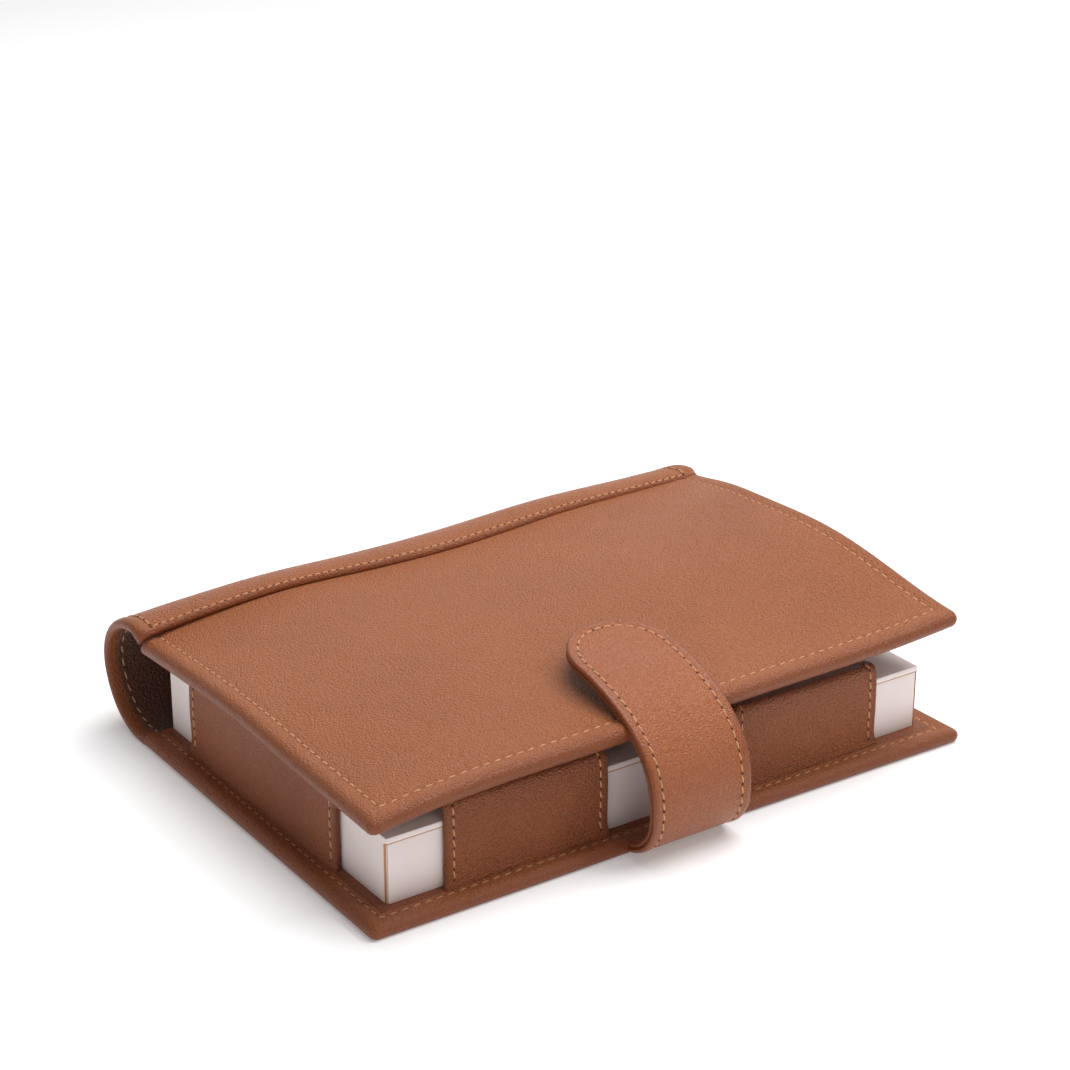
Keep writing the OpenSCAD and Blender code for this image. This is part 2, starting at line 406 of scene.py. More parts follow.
# How far a stitch leans across its row, the share of its length left free at each end, and
# half the length and width of the dark disc whose colour is painted shade for a needle hole.
THREAD_LEAN = 0.14
THREAD_GAP = 0.13
HOLE_HALF_LENGTH = 0.46
HOLE_HALF_WIDTH = 0.34


def stitch_run(name, points, normals, pitch=STITCH_PITCH, radius=0.28):
    """A run of lockstitches: one arched length of thread per stitch, and between them a small dark disc
    painted as the shade of a needle hole.
    """
    points = np.asarray(points, float)
    normals = np.asarray(normals, float)
    along = length_along(points)
    count = max(1, int(along[-1] / pitch))
    real = along[-1] / count

    def at(s):
        p = np.array([np.interp(s, along, points[:, k]) for k in range(3)])
        v = np.array([np.interp(s, along, normals[:, k]) for k in range(3)])
        return p, v / np.linalg.norm(v)

    verts, faces, kinds = [], [], []
    sides, rows = 6, 7
    for i in range(count):
        s0 = i * real + THREAD_GAP * real
        s1 = (i + 1) * real - THREAD_GAP * real
        lean = THREAD_LEAN * (1 + 0.5 * rng.standard_normal())
        lift = 0.16 + 0.05 * rng.random()
        p0, n0 = at(s0)
        p1, _ = at(s1)
        run = (p1 - p0) / np.linalg.norm(p1 - p0)
        side = np.cross(n0, run)
        base = len(verts)
        for j in range(rows):
            t = j / (rows - 1)
            p, nn = at(s0 + (s1 - s0) * t)
            arch = math.sin(math.pi * t)
            centre = p + nn * (lift * arch ** 0.6 - 0.22) + side * lean * (t - 0.5) * 2
            thick = radius * (0.62 + 0.38 * arch ** 0.5)
            for k in range(sides):
                a = 2 * math.pi * k / sides
                verts.append(centre + (side * math.cos(a) + nn * math.sin(a)) * thick)
        for j in range(rows - 1):
            for k in range(sides):
                a = base + j * sides
                k2 = (k + 1) % sides
                faces.append((a + k, a + k2, a + sides + k2, a + sides + k))
                kinds.append(0)
        faces.append(tuple(base + k for k in range(sides)))
        faces.append(tuple(base + (rows - 1) * sides + k for k in range(sides)))
        kinds += [0, 0]
    # Needle holes: small dark discs on the surface, their colour painted shade.
    for i in range(count + 1):
        p, nn = at(min(i * real, along[-1]))
        q, _ = at(min(i * real + 0.3, along[-1])) if i < count else at(max(i * real - 0.3, 0))
        run = (q - p) / max(np.linalg.norm(q - p), 1e-9)
        side = np.cross(nn, run)
        base = len(verts)
        spokes = 8
        for k in range(spokes):
            a = 2 * math.pi * k / spokes
            rim_point = p + run * HOLE_HALF_LENGTH * math.cos(a) + side * HOLE_HALF_WIDTH * math.sin(a)
            verts.append(rim_point - nn * 0.05)
        verts.append(p + nn * 0.15)
        verts.append(p - nn * 0.3)
        for k in range(spokes):
            k2 = (k + 1) % spokes
            faces.append((base + k, base + k2, base + spokes))
            faces.append((base + k2, base + k, base + spokes + 1))
            kinds += [1, 1]
    obj = finish_mesh(name, np.array(verts), faces, [THREAD, NEEDLE_HOLE_SHADE], face_material=kinds)
    return obj


# ------------------------------------------------------------- cover panels

def turned_edge(d, along, stitch_in, swell=0.24):
    """How far a turned and topstitched edge stands proud, by distance from the edge."""
    scallop = 0.5 + 0.5 * np.cos(2 * np.pi * along / STITCH_PITCH)
    return (swell * bump(d, 0.50 * stitch_in, 0.30 * stitch_in)
            - (0.22 + 0.06 * scallop) * bump(d, stitch_in, 0.85))


def end_pull(y):
    """0 over most of the cover's length, rising to 1 at its far end."""
    return np.clip((y / HALF_LEN - 0.4) / 0.6, 0, 1) ** 2


class Panel:
    """One cover: a board wrapped in leather, rounded on three sides."""

    def __init__(self, x0, x1, height, corner_r, thick=COVER_T, near_grow=(0.0, 0.0), far_grow=0.0,
                 stitch_in=COVER_STITCH_IN, swell=0.24, fore_skew=(0.0, 0.0)):
        self.x0, self.x1, self.half_len = x0, x1, HALF_LEN
        self.height = height
        self.corner_r = corner_r
        self.thick = thick
        self.near_grow, self.far_grow = near_grow, far_grow
        self.stitch_in, self.swell = stitch_in, swell
        self.fore_skew = fore_skew

    def drawn_y(self, x, y):
        """Where a point across the panel lies once the soft cover has crept a little out of square."""
        u = np.clip((x - self.x0) / (self.x1 - self.x0), 0, 1)
        far = self.far_grow * np.clip(1 - u / 0.5, 0, 1) ** 2
        near = self.near_grow[0] * (1 - u) + self.near_grow[1] * u
        far = far + self.fore_skew[1] * u ** 2
        return y + far * end_pull(y) - near * end_pull(-y)

    def drawn_x(self, x, y):
        """The fore-edge runs slightly out of square, further out towards the far end."""
        u = np.clip((x - self.x0) / (self.x1 - self.x0), 0, 1)
        v = np.clip(y / (2 * self.half_len) + 0.5, 0, 1)
        return x + self.fore_skew[0] * u * np.clip((v - 0.45) / 0.55, 0, 1)

    def half_width(self, x):
        """Half the panel's length at x, less near the rounded corners."""
        d = np.clip(self.corner_r - (self.x1 - x), 0, self.corner_r)
        return self.half_len - (self.corner_r - np.sqrt(self.corner_r ** 2 - d ** 2))

    def edge_distance(self, x, y):
        """Distance to the nearest free edge, before the corners are rounded."""
        return np.minimum(self.x1 - x, self.half_len - np.abs(y))

    def relief(self, x, y):
        """The turned edge's ridge and stitch groove, and the mitre crease of each corner."""
        to_fore, to_side = self.x1 - x, self.half_len - np.abs(y)
        d = np.minimum(to_fore, to_side)
        along = np.where(to_fore < to_side, y, x)
        crease = np.exp(-((to_fore - to_side) / 0.7) ** 2) * np.clip(1 - d / 4.5, 0, 1)
        return turned_edge(d, along, self.stitch_in, self.swell) - 0.30 * crease

    def top(self, x, y):
        """Height of the upper face, with its relief."""
        return self.height(x, y) + self.relief(x, y)

    def underside(self, x, y):
        """Height of the lower face, with its relief."""
        return self.height(x, y) - self.thick - self.relief(x, y)

    def build(self, name, material):
        """Skins the panel with points about a millimetre apart."""
        step = 1.0
        r = self.thick / 2
        xs = [np.arange(self.x0, self.x1 - r, step)]
        th = np.radians(np.linspace(0, 90, 7))
        xs.append(self.x1 - r + r * np.sin(th))
        xs = np.unique(np.concatenate(xs))
        across = int(2 * self.half_len / step)
        rings, rims = [], []
        for x in xs:
            past = max(0.0, x - (self.x1 - r))
            ht = max(math.sqrt(max(r * r - past * past, 0.0)), 0.02)
            ring = sheet_ring(self.half_width(x), ht, across)
            y, b = ring[:, 0], ring[:, 1]
            share = b / r
            mid = self.height(x, y) - r
            z = mid + b + self.relief(x, y) * share
            rings.append(np.stack([self.drawn_x(x, y), self.drawn_y(x, y), z], 1))
            d = self.edge_distance(x, y)
            # Worn edges get darker; the second term is painted shade along the stitch groove.
            rims.append(np.clip(1.15 - d / 3.4, 0, 1) ** 1.3 + 0.35 * bump(d, self.stitch_in, 0.6))
        return loft(name, rings, [material], np.clip(np.concatenate(rims), 0, 1))

    def edge_line(self, inset):
        """The U-shaped line that runs round the three free sides, inset from the edge."""
        r = max(self.corner_r - inset, 0.8)
        y1 = self.half_len - inset
        x1 = self.x1 - inset
        a = np.radians(np.linspace(-90, 0, 7))
        near = np.stack([x1 - r + r * np.cos(a), -y1 + r + r * np.sin(a)], 1)
        line = np.concatenate([[[self.x0 + 1.0, -y1]], near, (near * [1, -1])[::-1],
                               [[self.x0 + 1.0, y1]]])
        return resample(line, 0.4)

    def stitch(self, name, face):
        """Topstitching on the top (face 1) or the underside (face -1)."""
        line = self.edge_line(self.stitch_in)
        z_of = self.top if face > 0 else self.underside
        h = 0.3
        x, y = line[:, 0], line[:, 1]
        z = z_of(x, y)
        dzdx = (self.height(x + h, y) - self.height(x - h, y)) / (2 * h)
        dzdy = (self.height(x, y + h) - self.height(x, y - h)) / (2 * h)
        normal = np.stack([-dzdx, -dzdy, np.ones(len(x))], 1) * face
        normal /= np.linalg.norm(normal, axis=1)[:, None]
        return stitch_run(name, np.stack([self.drawn_x(x, y), self.drawn_y(x, y), z], 1), normal)


def flat_height(x, y):
    """The back cover's top, which is level."""
    return np.full(np.broadcast(np.asarray(x, float), np.asarray(y, float)).shape, back_hi[2])


class CadSurface:
    """The top face of the CAD front panel, read from its mesh and smoothed."""

    def __init__(self, node, nx=43, ny=41):
        mesh = frame["nodes"][node].data
        verts = [v.co.copy() for v in mesh.vertices]
        tree = BVHTree.FromPolygons(verts, [tuple(p.vertices) for p in mesh.polygons])
        inset = 0.2
        self.x = np.linspace(front_lo[0] + inset, front_hi[0] - inset, nx)
        self.y = np.linspace(front_lo[1] + inset, front_hi[1] - inset, ny)
        z = np.zeros((nx, ny))
        for i, x in enumerate(self.x):
            for j, y in enumerate(self.y):
                hit = tree.ray_cast(Vector((x * MM, y * MM, 1.0)), Vector((0, 0, -1)))
                z[i, j] = hit[0].z / MM
        for _ in range(4):
            for axis in (0, 1):
                pad = [(1, 1) if k == axis else (0, 0) for k in (0, 1)]
                p = np.pad(z, pad, mode="reflect", reflect_type="odd")
                a, b, c = (np.take(p, np.arange(k, k + z.shape[axis]), axis) for k in (0, 1, 2))
                z = (a + 2 * b + c) / 4
        self.z = z

    @staticmethod
    def weights(t):
        """Catmull-Rom weights of the four grid lines around a place."""
        return [(-t ** 3 + 2 * t ** 2 - t) / 2, (3 * t ** 3 - 5 * t ** 2 + 2) / 2,
                (-3 * t ** 3 + 4 * t ** 2 + t) / 2, (t ** 3 - t ** 2) / 2]

    def __call__(self, x, y):
        """Smooth height at places given as arrays or numbers."""
        x, y = np.broadcast_arrays(np.asarray(x, float), np.asarray(y, float))
        u = (x - self.x[0]) / (self.x[1] - self.x[0])
        v = (y - self.y[0]) / (self.y[1] - self.y[0])
        i = np.clip(np.floor(u).astype(int), 0, len(self.x) - 2)
        j = np.clip(np.floor(v).astype(int), 0, len(self.y) - 2)
        wu, wv = self.weights(u - i), self.weights(v - j)
        z = np.zeros(x.shape)
        for a in range(4):
            ia = np.clip(i + a - 1, 0, len(self.x) - 1)
            for b in range(4):
                jb = np.clip(j + b - 1, 0, len(self.y) - 1)
                z += wu[a] * wv[b] * self.z[ia, jb]
        return z


# How far the front cover's spine side and the spine's top reach past the CAD length, far end.
FAR_CREEP = 6.0
CORNER_R = 2.2
# The front panel starts this much further from the spine than in CAD, and is this much thicker.
FRONT_TUCK = 2.2
FRONT_PADDING = 0.8
# The back cover's fore-edge lies this much nearer the spine than in CAD.
BACK_FORE_IN = 1.1

# How the soft seam beside the spine rises and falls: share of the length, height.
SEAM_WAVE = [(0.0, -4.2), (0.10, -2.4), (0.24, -1.0), (0.40, -1.6), (0.54, -1.3),
             (0.74, 0.8), (0.90, 0.4), (1.0, 0.3)]


def seam_wave(y):
    """The seam's height against a straight seam, at places along it."""
    points = smooth_curve(SEAM_WAVE, 0.01)
    return np.interp(np.asarray(y, float) / (2 * HALF_LEN) + 0.5, points[:, 0], points[:, 1])


cad_top = CadSurface("front_outer_skin")


def front_height(x, y):
    """The front panel's top: the CAD surface with the seam's wave, the near end's sag,
    a droop along the fore-edge and a lift at the far end beside the spine."""
    x, y = np.broadcast_arrays(np.asarray(x, float), np.asarray(y, float))
    u = np.clip((x - front_lo[0]) / (front_hi[0] - front_lo[0]), 0, 1)
    v = np.clip(y / (2 * HALF_LEN) + 0.5, 0, 1)
    near = np.clip(1 - v / 0.3, 0, 1) ** 2
    sag = near * (1.3 * u ** 2 + 1.0 * bump(u, 0.72, 0.2) + 1.2 * (1 - u) ** 2)
    far_lift = 2.5 * bump(u, 0.16, 0.17) * v ** 6
    droop = 1.7 * bump(v, 0.32, 0.2) * u ** 2
    return cad_top(x, y) + seam_wave(y) * (1 - u) ** 2 - sag - droop + far_lift


back_panel = Panel(SPINE_EDGE_X, FORE_X - BACK_FORE_IN, flat_height, CORNER_R, near_grow=(1.4, 1.8),
                   stitch_in=BACK_STITCH_IN, swell=0.42, fore_skew=(1.2, 1.9))
front_panel = Panel(front_lo[0] + FRONT_TUCK, front_hi[0], front_height, CORNER_R,
                    thick=COVER_T + FRONT_PADDING, near_grow=(0.3, 1.3), far_grow=FAR_CREEP)


def build_panels():
    """Both covers, and their stitches on both faces."""
    back = back_panel.build("back_cover_leather", LEATHER)
    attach(back, "back_cover")
    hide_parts("back_outer_skin", "back_board")
    front = front_panel.build("front_cover_leather", LEATHER)
    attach(front, "front_cover")
    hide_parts("front_outer_skin", "front_board")
    for panel, body, label in ((back_panel, "back_cover", "back"), (front_panel, "front_cover", "front")):
        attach(panel.stitch(label + "_stitches_top", 1), body)
        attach(panel.stitch(label + "_stitches_under", -1), body)


def lining_sheet(name, panel, face, inset, proud, x_in):
    """A thin lining sheet let in to a panel's inner face."""
    t = 0.8
    x0, x1 = panel.x0 + x_in, panel.x1 - inset
    half = panel.half_len - inset
    th = np.radians(np.linspace(0, 90, 4))
    ends = (t / 2) * (1 - np.cos(th))
    xs = np.unique(np.concatenate([x0 + ends, np.arange(x0 + t, x1 - t, 2.0), x1 - ends]))
    across = int(2 * half / 2)
    rings, rims = [], []
    for x in xs:
        ring = sheet_ring(half, rounded(t / 2, min(x - x0, x1 - x), 0.01), across, round_n=3)
        y, b = ring[:, 0], ring[:, 1]
        base = panel.top(x, y) if face > 0 else panel.underside(x, y)
        z = base + face * (proud - t / 2) + b
        rings.append(np.stack([panel.drawn_x(x, y), panel.drawn_y(x, y), z], 1))
        rims.append(np.clip(1 - np.minimum(x1 - x, half - np.abs(y)) / 1.5, 0, 1))
    # The back cover's lining takes the band leather, darkened as painted shade; the front cover's lining
    # takes the lining leather.
    return loft(name, rings, [LINING_WITH_PAINTED_SHADE if face < 0 else SHADED_BAND_LEATHER], np.concatenate(rims))


# The linings start this far inside the stitches, and stand this far proud.
LINING_IN = 1.2
LINING_PROUD = 0.12


def build_linings():
    """The linings inside both covers, just inside their rows of stitches."""
    inner = lining_sheet("back_cover_lining", back_panel, 1,
                         BACK_STITCH_IN + LINING_IN, LINING_PROUD, x_in=1.5)
    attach(inner, "back_cover")
    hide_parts("back_lining")
    under = lining_sheet("front_cover_lining", front_panel, -1,
                         COVER_STITCH_IN + LINING_IN, LINING_PROUD, x_in=6.0)
    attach(under, "front_cover")
    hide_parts("front_lining")


# -------------------------------------------------------------------- spine

SPINE_T = 2.6
STRIP_DROP = 0.6
STRIP_STITCH_IN = 1.9
STRIP_END_X = SPINE_EDGE_X + 0.8
SPINE_STEP = 0.6
# The spine's top follows this share of the seam's wave, and reaches this far past CAD, near end.
SEAM_FOLLOW = 0.95
NEAR_CREEP = 1.4


def spine_angle_path(a0, a1):
    """Outer surface of the round spine between two angles from straight down."""
    count = max(3, int(math.radians(a1 - a0) * SPINE_R / SPINE_STEP))
    return arc(SPINE_C, SPINE_R, 270 - a0, 270 - a1, count)


def spine_wave(point, y):
    """How far the soft spine's top half follows the seam's wave, as a height."""
    share = np.clip((point[1] - 0.6 * SPINE_R) / (1.4 * SPINE_R), 0, 1) ** 1.3
    return seam_wave(y) * share * SEAM_FOLLOW


def spine_y(point, y):
    """The spine's top creeps out of square with the front cover."""
    share = np.clip(point[1] / (2 * SPINE_R), 0, 1) ** 2
    return y + FAR_CREEP * share * end_pull(y) - (NEAR_CREEP - 0.1 * share) * end_pull(-y)


def strip_waver(y):
    """How far the strip's folded edge wanders from straight along the cover."""
    return 0.9 * np.sin(y / 21.0 + 0.6)


def spine_section(name, path, round_start, round_end, strip_from=None):
    """A length of the spine's leather: rounded along its two open ends, and at a folded edge."""
    normal = normals_of(path, 1)
    along = length_along(path)
    total = along[-1]
    r = SPINE_T / 2
    rings, rims = [], []
    for k, (p, n) in enumerate(zip(path, normal)):
        d_end = min(along[k] if round_start else 1e9, total - along[k] if round_end else 1e9)
        ring = sheet_ring(HALF_LEN, rounded(r, d_end, 0.02), 240)
        y, b = ring[:, 0], ring[:, 1]
        d = HALF_LEN - np.abs(y)
        relief = turned_edge(d, along[k], SPINE_STITCH_IN)
        if round_end:
            relief = relief + turned_edge(total - along[k], y, STRIP_STITCH_IN) * np.clip(d / 6, 0, 1)
            relief = relief + 0.05 * np.sin(y * 5.0) * bump(total - along[k], 1.0, 0.9)
        out = b - r + relief * (b / r)
        x = p[0] + n[0] * out
        z = p[1] + n[1] * out + spine_wave(p, y)
        if strip_from is not None and p[0] > strip_from:
            share = (p[0] - strip_from) / (STRIP_END_X - strip_from)
            x = x + strip_waver(y) * share
            z = z - 1.8 * share * np.clip(1 - d / 3.0, 0, 1) ** 2
        rings.append(np.stack([x, spine_y(p, y), z], 1))
        rims.append(np.clip(1.1 - d / 3.2, 0, 1) + (np.clip(1 - d_end / 2.0, 0, 1) if round_end else 0))
    obj = loft(name, rings, [LEATHER], np.clip(np.concatenate(rims), 0, 1))
    return obj


def spine_lining(name, path, depth):
    """The lining inside the spine, a thin sheet proud of the turned edge; its darker leather is partly the
    lining's own tone and partly painted shade.
    """
    normal = normals_of(path, 1)
    t = 0.7
    half = HALF_LEN - 3.2
    rings = []
    for p, n in zip(path, normal):
        ring = sheet_ring(half, t / 2, 95, round_n=3)
        y, b = ring[:, 0], ring[:, 1]
        out = b - depth
        rings.append(np.stack([p[0] + n[0] * out, spine_y(p, y), p[1] + n[1] * out + spine_wave(p, y)], 1))
    obj = loft(name, rings, [LINING_WITH_PAINTED_SHADE])
    return obj


def spine_edge_stitches(name, path, side, face):
    """Stitches along one open end of the spine, on its outer or inner face."""
    normal = normals_of(path, 1)
    y = side * (HALF_LEN - SPINE_STITCH_IN)
    depth = 0.0 if face > 0 else SPINE_T + 0.3
    x = path[:, 0] - normal[:, 0] * depth
    z = path[:, 1] - normal[:, 1] * depth + np.array([spine_wave(p, y) for p in path])
    points = np.stack([x, [spine_y(p, y) for p in path], z], 1)
    vectors = np.stack([normal[:, 0], np.zeros(len(x)), normal[:, 1]], 1) * face
    return stitch_run(name, points, vectors)


def strip_path():
    """The spine's top quarter and the strip that laps over the front panel."""
    top = spine_angle_path(120, 180)
    flat = resample(np.array([[SPINE_C[0] + 0.3, 2 * SPINE_R], [STRIP_END_X, 2 * SPINE_R - STRIP_DROP]]), 0.5)
    return np.concatenate([top, flat])


def build_spine():
    """The spine in three lengths, each with its lining and stitches, between the bodies that it joins."""
    root = resample(np.array([[SPINE_EDGE_X + 0.2, 0.0], [SPINE_C[0] + 0.3, 0.0]]), SPINE_STEP)
    low = np.concatenate([root, spine_angle_path(0, 60)])
    mid = spine_angle_path(60, 120)
    high = strip_path()

    def on_spine(a):
        """A place on the spine in metres, by its angle from straight down."""
        p = arc(SPINE_C, SPINE_R, 270 - a, 270 - a, 1)[0]
        return (p[0] * MM, 0, p[1] * MM)

    parts = [
        ("low", low, ("back_cover", "spine_lower"), (on_spine(6), on_spine(56)),
         ("spine_root_outer",), ("spine_root_lining",)),
        ("mid", mid, ("spine_lower", "spine_upper"), (on_spine(64), on_spine(116)),
         ("spine_lower_outer", "spine_upper_outer"), ("spine_lower_lining", "spine_upper_lining")),
        ("high", high, ("spine_upper", "front_cover"), (on_spine(124), on_spine(176)),
         ("spine_seam_outer",), ("spine_seam_lining",)),
    ]
    for label, path, bodies, ends, outer_nodes, inner_nodes in parts:
        strip = SPINE_C[0] if label == "high" else None
        outer = spine_section("spine_leather_" + label, path, label == "low", label == "high", strip)
        inner_path = path if label != "high" else path[path[:, 0] < SPINE_C[0] - 1.0]
        inner = spine_lining("spine_lining_" + label, inner_path, SPINE_T)
        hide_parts(*outer_nodes)
        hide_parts(*inner_nodes)
        pieces = [outer, inner]
        for side, end in ((-1, "near"), (1, "far")):
            for face, where in ((1, "outer"), (-1, "inner")):
                run = inner_path if face < 0 else path[:-5] if label == "high" else path
                pieces.append(spine_edge_stitches(
                    f"spine_stitches_{label}_{end}_{where}", run, side, face))
        if label == "high":
            pieces.append(strip_stitches())
        for piece in pieces:
            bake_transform(piece)


def strip_stitches():
    """The topstitch along the folded edge over the front panel."""
    y = np.arange(-HALF_LEN + SPINE_STITCH_IN, HALF_LEN - SPINE_STITCH_IN, 0.5)
    inset = STRIP_STITCH_IN
    share = (STRIP_END_X - inset - SPINE_C[0]) / (STRIP_END_X - SPINE_C[0])
    x = STRIP_END_X - inset + strip_waver(y) * share
    z = 2 * SPINE_R - STRIP_DROP * share + seam_wave(y) * SEAM_FOLLOW - 0.1
    up = np.tile([0.0, 0.0, 1.0], (len(y), 1))
    points = np.stack([x, spine_y((x, 2 * SPINE_R), y), z], 1)
    return stitch_run("seam_stitches", points, up, SEAM_STITCH_PITCH, 0.22)


# -------------------------------------------------------------------- strap

STRAP_OUTER_T = 1.45
STRAP_LINING_T = 1.25
STRAP_HALF_W = (strap_hi[1] - strap_lo[1]) / 2 + 0.2
STRAP_Y = (strap_hi[1] + strap_lo[1]) / 2 - 0.6
STRAP_OUT_X = strap_hi[0]
TAB_TIP_X = tab_lo[0] + 2.0
TAB_TOP = tab_hi[2] - 0.3
# The worn strap lies this much nearer the block than a strap drawn taut round the joints.
STRAP_SLACK = 2.5


def strap_path():
    """The strap's outer surface from under the fore-edge, up, over and along the tab."""
    out = STRAP_OUT_X - STRAP_SLACK
    top = TAB_TOP
    return smooth_curve([
        (FORE_X - 2.5, 1.25), (FORE_X + 0.6, 1.5), (out - 5.6, 3.6), (out - 2.5, 6.8),
        (out - 0.5, 11.0), (out, 16.0), (out - 0.4, 21.0), (out - 2.2, 26.6), (out - 5.6, 31.8),
        (out - 10.4, 36.2), (out - 16.2, top - 7.8), (out - 23.4, top - 5.0), (out - 31.0, top - 3.0),
        (out - 42.0, top - 1.2), (TAB_TIP_X, top),
    ], 0.45)


STRAP = strap_path()
STRAP_N = normals_of(STRAP, -1)
STRAP_S = length_along(STRAP)
STRAP_LEN = STRAP_S[-1]


def strap_half_width(s, inset=0.0):
    """Half the strap's width at s: straight, then the half-round tip."""
    w = STRAP_HALF_W - inset
    to_centre = s - (STRAP_LEN - STRAP_HALF_W)
    return math.sqrt(max(w * w - max(to_centre, 0.0) ** 2, 0.0))


def strap_at(s, a, depth=0.0):
    """A point at length s and distance a across the strap, some way below its outer surface."""
    p = np.array([np.interp(s, STRAP_S, STRAP[:, k]) for k in (0, 1)])
    n = np.array([np.interp(s, STRAP_S, STRAP_N[:, k]) for k in (0, 1)])
    n /= np.linalg.norm(n)
    return np.array([p[0] - n[0] * depth, STRAP_Y + a, p[1] - n[1] * depth]), np.array([n[0], 0, n[1]])


def strap_layer(name, s0, s1, depth, t, material, inset, tip):
    """One of the strap's two leather layers between two lengths along it."""
    keep = (STRAP_S >= s0 - 1e-6) & (STRAP_S <= s1 + 1e-6)
    stations = np.unique(np.concatenate([[s0, s1], STRAP_S[keep]]))
    if tip:
        end = STRAP_LEN - inset
        w = STRAP_HALF_W - inset
        th = np.radians(np.linspace(0, 90, 28))
        stations = np.concatenate([stations[stations < end - w], end - w + w * np.sin(th)])
    rings, rims = [], []
    r = t / 2
    for s in stations:
        hw = strap_half_width(s, inset)
        ht = rounded(r, STRAP_LEN - inset - s, 0.01) if tip else r
        ring = sheet_ring(max(hw, ht + 0.01), ht, 30)
        a, b = ring[:, 0], ring[:, 1]
        p, n = strap_at(s, 0.0)
        d = np.minimum(hw - np.abs(a), STRAP_LEN - s + 0 * a if tip else 1e9)
        face = turned_edge(d, s, STRAP_STITCH_IN) * 0.9 if depth == 0 else 0.0
        out = b - r - depth + face * (b / r)
        rings.append(np.stack([p[0] + n[0] * out, STRAP_Y + a, p[2] + n[2] * out], 1))
        rims.append(np.clip(1.1 - d / 2.2, 0, 1))
    return loft(name, rings, [material], np.clip(np.concatenate(rims), 0, 1))


def strap_stitch_line(s0, s1, tip, depth, face):
    """Stitch points and normals along the strap's two sides, and round the tip."""
    inset = STRAP_STITCH_IN
    runs = []
    if tip:
        w = STRAP_HALF_W - inset
        centre = STRAP_LEN - STRAP_HALF_W
        th = np.radians(np.linspace(-90, 90, 60))
        line = [(s, -w) for s in np.arange(s0, centre, 0.4)]
        line += [(centre + w * math.cos(a), w * math.sin(a)) for a in th]
        line += [(s, w) for s in np.arange(centre, s0, -0.4)]
        runs.append(line)
    else:
        for side in (-1, 1):
            runs.append([(s, side * (STRAP_HALF_W - inset)) for s in np.arange(s0, s1 + 0.2, 0.4)])
    out = []
    for line in runs:
        points, normals = [], []
        for s, a in line:
            p, n = strap_at(s, a, depth)
            points.append(p)
            normals.append(n * face)
        out.append((np.array(points), np.array(normals)))
    return out


def strap_s_at_height(z):
    """Length along the strap where its upright part passes a height."""
    rising = STRAP[:, 0] > FORE_X + 1
    s, h = STRAP_S[rising], STRAP[rising, 1]
    return float(np.interp(z, h, s))


# The strap's two lengths meet at this height, and its upper bend ends this far from the tip.
STRAP_SPLIT_Z = 17.0
TAB_BEND_FROM_TIP = 38


def build_strap():
    """The strap in two lengths, each of two layers with their stitches, between the bodies that they join."""
    split = strap_s_at_height(STRAP_SPLIT_Z)
    low_bend = (strap_at(0.6, 0)[0], strap_at(split - 1.0, 0)[0])
    high_bend = (strap_at(split + 4.0, 0)[0], strap_at(STRAP_LEN - TAB_BEND_FROM_TIP, 0)[0])
    ends = {
        "low": (0.0, split, ("back_cover", "strap"), low_bend),
        "high": (split, STRAP_LEN, ("strap", "tab"), high_bend),
    }
    nodes = {
        "low": (("strap_anchor",), ()),
        "high": (("strap_outer", "tab_outer"), ("strap_lining", "tab_lining")),
    }
    for label, (s0, s1, bodies, (start, end)) in ends.items():
        tip = label == "high"
        outer = strap_layer("strap_leather_" + label, s0, s1, 0.0, STRAP_OUTER_T, STRAP_LEATHER, 0.0, tip)
        inner = strap_layer("strap_lining_" + label, s0, s1, STRAP_OUTER_T + 0.02, STRAP_LINING_T,
                            LEATHER, 0.15, tip)
        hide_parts(*nodes[label][0])
        if nodes[label][1]:
            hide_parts(*nodes[label][1])
        pieces = [outer, inner]
        s_start = s0 + 4.0 if label == "low" else s0
        for face, depth, where in ((1, 0.1, "outer"), (-1, STRAP_OUTER_T + STRAP_LINING_T, "inner")):
            for k, (points, normals) in enumerate(strap_stitch_line(s_start, s1, tip, depth, face)):
                pieces.append(stitch_run(f"strap_stitches_{label}_{where}_{k}", points, normals,
                                         STRAP_STITCH_PITCH))
        for piece in pieces:
            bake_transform(piece)


# -------------------------------------------------------------------- bands

BAND_T = 1.6
# How high the bands' crests stand above the CAD card lid, and how long their lips are.
BAND_RISE = 6.3
BAND_LIP = 12.0
# Half of what the end bands lose of their CAD width, all of it on the spine's side.
END_BAND_TRIM = 1.8


def band_path(height, lip):
    """A band's outer surface: a flared foot, the upright, and the lip over the block."""
    foot = [(1.6, 0.25), (1.1, 0.5), (0.75, 1.1), (0.5, 2.2)]
    wall = [(0.30, 5.0), (0.45, height * 0.5), (0.25, height - 4.0)]
    r = 2.0
    turn = [(r * math.cos(a) - r, height - r + r * math.sin(a)) for a in np.radians(range(10, 91, 16))]
    over = [(-r - 2.5, height - 0.5), (-lip * 0.7, height - 1.9), (-lip, height - BAND_RISE + BAND_T + 0.3)]
    return smooth_curve(foot + wall + turn + over, 0.5)


